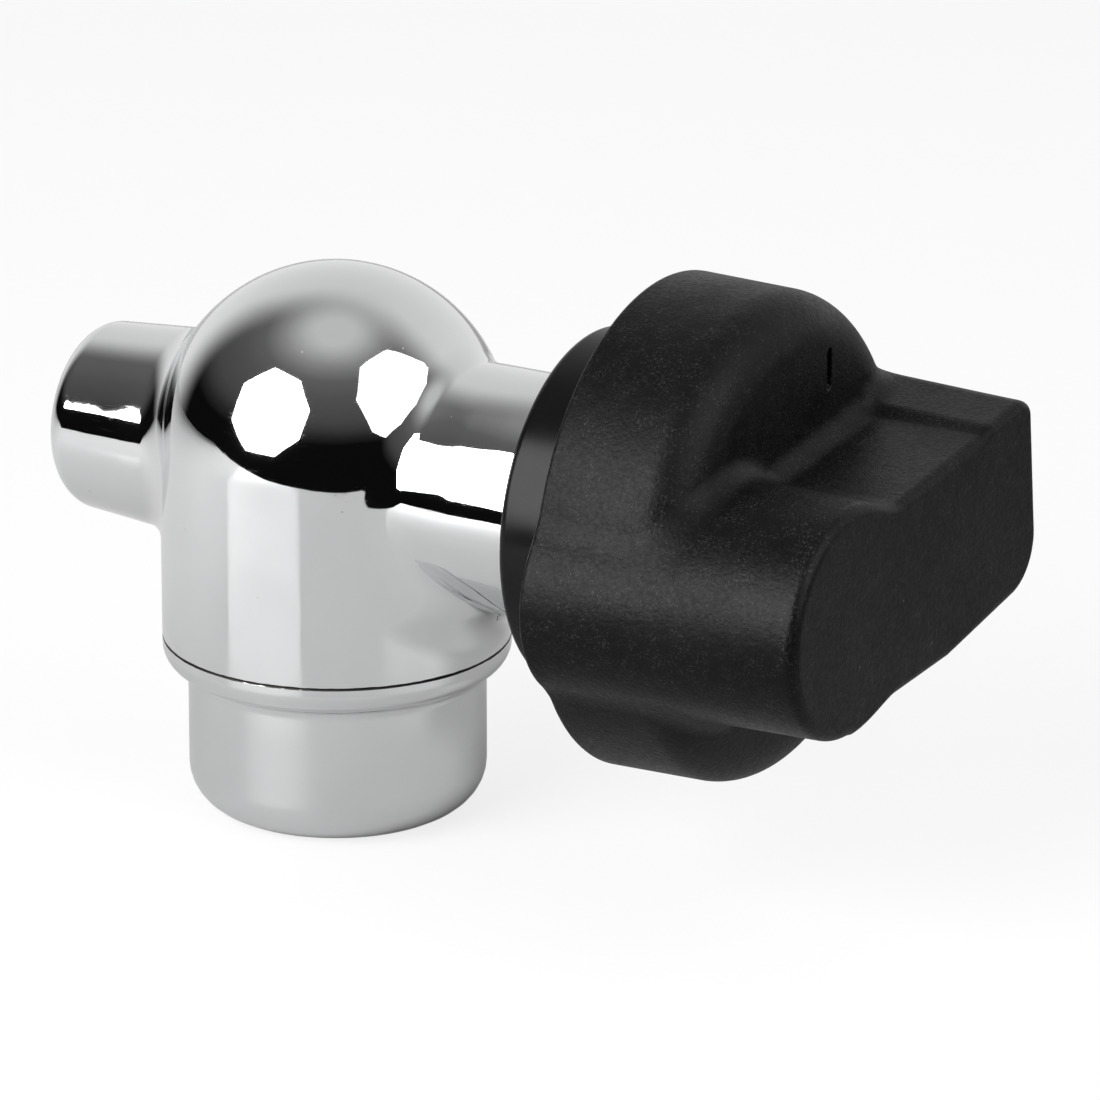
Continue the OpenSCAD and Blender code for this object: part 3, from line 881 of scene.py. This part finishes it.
def table_material():
    """A satin top with painted light and shade: lighter behind and to the left,
    painted shade to the right, and duller close to the valve."""
    def linked(graph):
        x, y = graph.axis("X"), graph.axis("Y")
        right = graph.math("ADD", graph.math("MULTIPLY", x, 0.8), graph.math("MULTIPLY", y, 0.6))
        # Painted light and shade: the table's colour is graded lighter behind and to the left and
        # darker to the right, so the valve reflects a lit side and a shaded side.
        painted_light_tone = graph.mix(graph.span(y, -0.12, 0.25), (TABLE_SHADED_NEAR,) * 3, (TABLE_LIT_FAR,) * 3)
        painted_light_tone = graph.mix(graph.span(x, -0.02, -0.14), painted_light_tone, (TABLE_LIT_LEFT,) * 3)
        painted_light_tone = graph.mix(graph.span(right, 0.07, 0.19), painted_light_tone, (TABLE_SHADED_RIGHT,) * 3)
        dusty = graph.math("MULTIPLY", graph.noise(0.05, 3), 0.08)
        away = graph.add("ShaderNodeVectorMath", {0: graph.place}, "Value", operation="LENGTH")
        return {
            "Base Color": graph.mix(dusty, painted_light_tone, (0.2,) * 3),
            "Roughness": graph.span(away, 0.05, 0.09, 0.42, 0.12)
        }
    return material("table", {"Specular IOR Level": 0.022}, linked)


def add_stage():
    """The floor, which only the camera sees, and just below it the table,
    which only the valve reflects."""
    floor = add_sheet("floor", [
        (x * FLOOR_REACH, y * FLOOR_REACH, FLOOR_H)
        for x, y in ((-1, -1), (1, -1), (1, 1), (-1, 1))
    ], floor_material())
    floor.visible_glossy = floor.visible_diffuse = floor.visible_transmission = False

    front = direction(VIEW_AZIMUTH, 0)
    side = Vector((math.cos(VIEW_AZIMUTH), math.sin(VIEW_AZIMUTH), 0))
    table = add_sheet("table", [
        Vector((0, 0, TABLE_H)) + forward * front + across * side
        for forward, across in (
            (TABLE_EDGE, -TABLE_REACH), (TABLE_EDGE, TABLE_REACH),
            (-TABLE_REACH, TABLE_REACH), (-TABLE_REACH, -TABLE_REACH)
        )
    ], table_material())
    table.visible_camera = False


def ramp(graph, value, stops):
    node = graph.tree.nodes.new("ShaderNodeValToRGB")
    graph.tree.links.new(value, node.inputs[0])
    places = node.color_ramp.elements
    while len(places) < len(stops):
        places.new(0.5)
    for place, (position, grey) in zip(places, stops):
        place.position = position
        place.color = (grey, grey, grey, 1)
    return node.outputs[0]


# Brightness of the room by the sine of the elevation: it is dark low down in
# front of the valve, and light behind it.
ROOM_FRONT = (
    (0.20, 0.004), (0.29, 0.022), (0.375, 0.05), (0.454, 0.07), (0.67, 0.096),
    (0.80, 0.13), (0.857, 0.20), (0.90, 0.28), (0.94, 0.41), (0.985, 0.59)
)
ROOM_BACK = ((0.08, 0.84), (0.40, 0.76), (0.73, 0.69), (0.92, 0.57))
LIGHT_SIDE = math.radians(-170)


def add_world():
    world = bpy.data.worlds.new("room")
    bpy.context.scene.world = world
    world.use_nodes = True
    tree = world.node_tree
    tree.nodes.clear()
    graph = Graph(tree, "Generated")
    height = graph.axis("Z")
    behind = graph.math(
        "ADD", graph.math("MULTIPLY", graph.axis("X"), math.sin(LIGHT_SIDE)),
        graph.math("MULTIPLY", graph.axis("Y"), -math.cos(LIGHT_SIDE))
    )
    room = graph.mix(
        graph.span(behind, 0.08, 0.62), ramp(graph, height, ROOM_FRONT),
        ramp(graph, height, ROOM_BACK)
    )
    seen = graph.add("ShaderNodeLightPath", {}, output="Is Camera Ray")
    colour = graph.mix(seen, room, (1.0, 1.0, 1.0))
    glow = graph.add("ShaderNodeBackground", {"Color": colour, "Strength": 1.0})
    out = tree.nodes.new("ShaderNodeOutputWorld")
    tree.links.new(glow, out.inputs["Surface"])


# ---- Everything ----

add_camera()
PIECES = [
    (make_body(), "chrome_body"),
    (make_connector(), "chrome_connector"),
    (make_knob(), "soft_black"),
]
dress({
    "chrome_body": chrome("chrome_body", (SEAM_H * MM,)),
    "chrome_connector": chrome("chrome_connector", (SEAM_H * MM,)),
    "chrome_ball": chrome("chrome_ball"),
    "ptfe": ptfe(),
    "nitrile": nitrile(),
    "stainless": turned_metal("stainless", (0.52, 0.52, 0.53), (0.66, 0.66, 0.67), 0.18, 0.34),
    "brass": turned_metal("brass", (0.66, 0.47, 0.20), (0.80, 0.60, 0.29), 0.16, 0.32),
    "acetal": acetal(),
    "soft_black": soft_black(),
})
add_world()
add_softbox("softbox_left", -18, 26.5, 25, 7.5)
add_softbox("softbox_right", 86, 34, 28, 2.6)
add_stage()
bpy.context.scene.view_settings.view_transform = "Standard"
